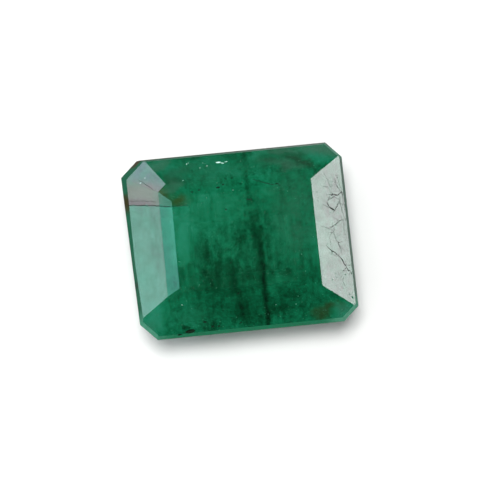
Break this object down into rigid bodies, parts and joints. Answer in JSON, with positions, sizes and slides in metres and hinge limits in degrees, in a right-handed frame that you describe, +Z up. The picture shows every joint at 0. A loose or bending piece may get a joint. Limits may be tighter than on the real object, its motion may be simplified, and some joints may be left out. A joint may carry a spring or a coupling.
{
  "type": "step-cut emerald gemstone",
  "caption": "Octagonal step-cut emerald with a flat table, a stepped crown and a stepped pavilion, full of natural inclusions.",
  "frame": {"origin": "middle of the outline, on the flat base facet that the stone stands on", "axes": "+X along the long way of the stone, +Y along the short way, +Z up through the table"},
  "size_m": [0.0126, 0.0104, 0.0055],
  "materials": {
    "emerald": "polished, deep green, hazy with inclusions"
  },
  "bodies": {
    "root": {"emerald": "emerald"}
  },
  "joints": []
}
